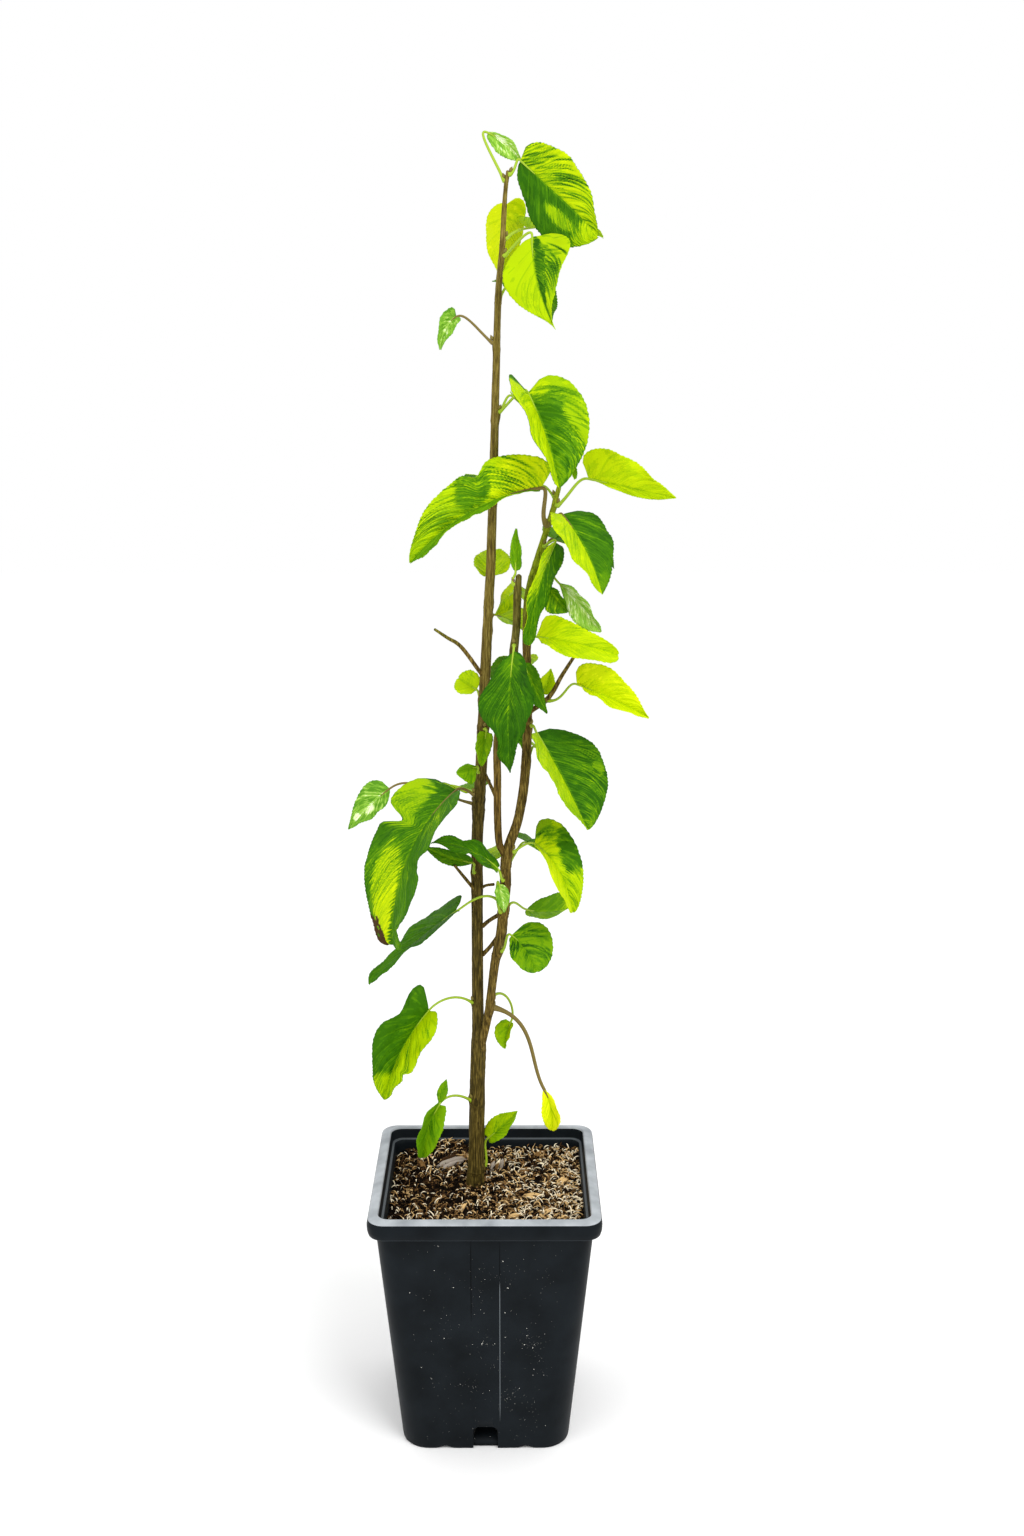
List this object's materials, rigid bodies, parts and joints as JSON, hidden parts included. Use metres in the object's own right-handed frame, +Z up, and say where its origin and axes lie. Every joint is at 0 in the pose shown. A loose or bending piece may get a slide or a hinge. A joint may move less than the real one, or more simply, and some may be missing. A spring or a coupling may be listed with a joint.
{
  "type": "potted white mulberry tree",
  "caption": "Young white mulberry tree with slim upright stems and drooping leaves, in a square black nursery pot filled with bark soil.",
  "frame": {"origin": "centre of the pot's flat underside", "axes": "+Z up along the trunk, +X to the right and -Y to the front of the pictured side"},
  "size_m": [0.2447, 0.1968, 0.9999],
  "materials": {
    "pot_plastic": "satin black moulded plastic",
    "bark_soil": "rough bark chips and coir",
    "bark": "young olive-brown bark",
    "leaf": "soft green leaf"
  },
  "bodies": {
    "root": {"bare_twig": "bark", "fork_twig": "bark", "leaf_across": "leaf", "leaf_across_low": "leaf", "leaf_back_1": "leaf", "leaf_back_10": "leaf", "leaf_back_11": "leaf", "leaf_back_12": "leaf", "leaf_back_13": "leaf", "leaf_back_14": "leaf", "leaf_back_2": "leaf", "leaf_back_3": "leaf", "leaf_back_4": "leaf", "leaf_back_5": "leaf", "leaf_back_6": "leaf", "leaf_back_7": "leaf", "leaf_back_8": "leaf", "leaf_back_9": "leaf", "leaf_back_yellow": "leaf", "leaf_behind_right": "leaf", "leaf_between": "leaf", "leaf_bough_tip": "leaf", "leaf_far_left": "leaf", "leaf_foot_left": "leaf", "leaf_foot_shoot": "leaf", "leaf_front_long": "leaf", "leaf_left_big": "leaf", "leaf_left_edge": "leaf", "leaf_left_round": "leaf", "leaf_left_small": "leaf", "leaf_long_left": "leaf", "leaf_low_left": "leaf", "leaf_low_round": "leaf", "leaf_low_small": "leaf", "leaf_low_yellow": "leaf", "leaf_mid_back": "leaf", "leaf_mid_fold": "leaf", "leaf_mid_right": "leaf", "leaf_mid_small": "leaf", "leaf_right_big": "leaf", "leaf_right_bright": "leaf", "leaf_right_curl": "leaf", "leaf_right_hang": "leaf", "leaf_right_hid": "leaf", "leaf_right_low": "leaf", "leaf_right_out": "leaf", "leaf_tip_young": "leaf", "leaf_top": "leaf", "leaf_top_back": "leaf", "leaf_top_front": "leaf", "leaf_trunk_front": "leaf", "leaf_trunk_left": "leaf", "leaf_upper_right": "leaf", "leaf_young_front": "leaf", "left_bough": "bark", "pot": "pot_plastic", "right_twig": "bark", "second_stem": "bark", "soil": "bark_soil", "trunk": "bark"}
  },
  "joints": []
}
